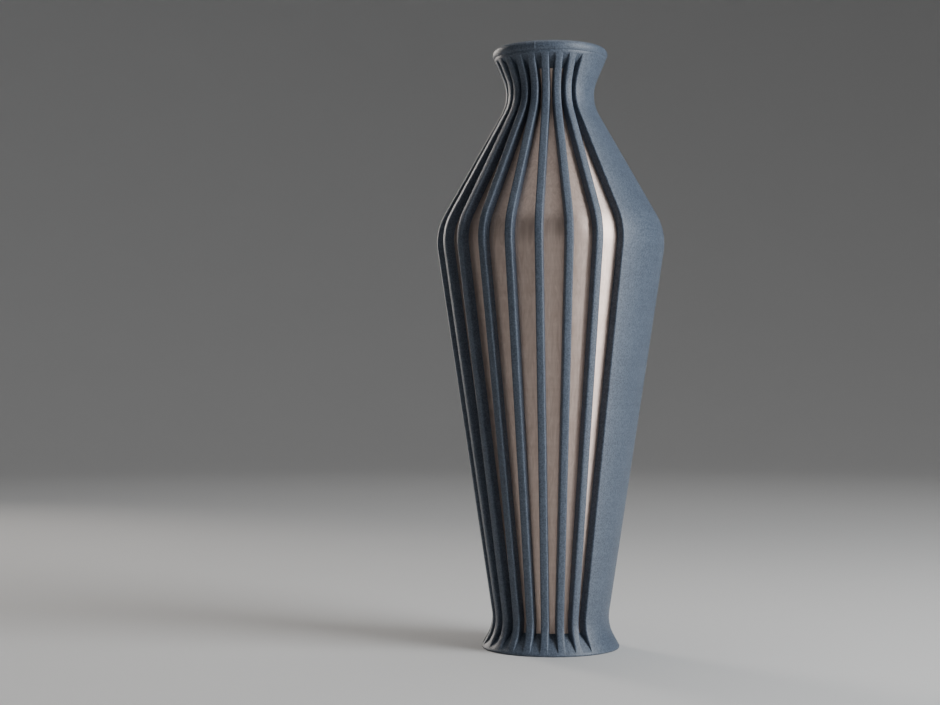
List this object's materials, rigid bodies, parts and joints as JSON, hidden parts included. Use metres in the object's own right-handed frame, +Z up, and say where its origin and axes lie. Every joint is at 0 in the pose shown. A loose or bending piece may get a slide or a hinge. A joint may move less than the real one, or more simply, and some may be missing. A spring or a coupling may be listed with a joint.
{
  "type": "slatted vase",
  "caption": "Tall slender vase with narrow neck and flared rim, an outer shell slatted on one half over a contrasting inner wall",
  "frame": {"origin": "centre of the foot, on the surface the vase stands on", "axes": "+Z up along the vase's axis, -Y through the middle slat, +Y through the middle of the smooth half"},
  "size_m": [0.1524, 0.1524, 0.4],
  "materials": {
    "shell": "matte blue-grey print with very fine horizontal layer lines",
    "inner": "silky rose champagne print with an upright sheen"
  },
  "bodies": {
    "root": {"outer_shell": "shell", "inner_vase": "inner"}
  },
  "joints": []
}
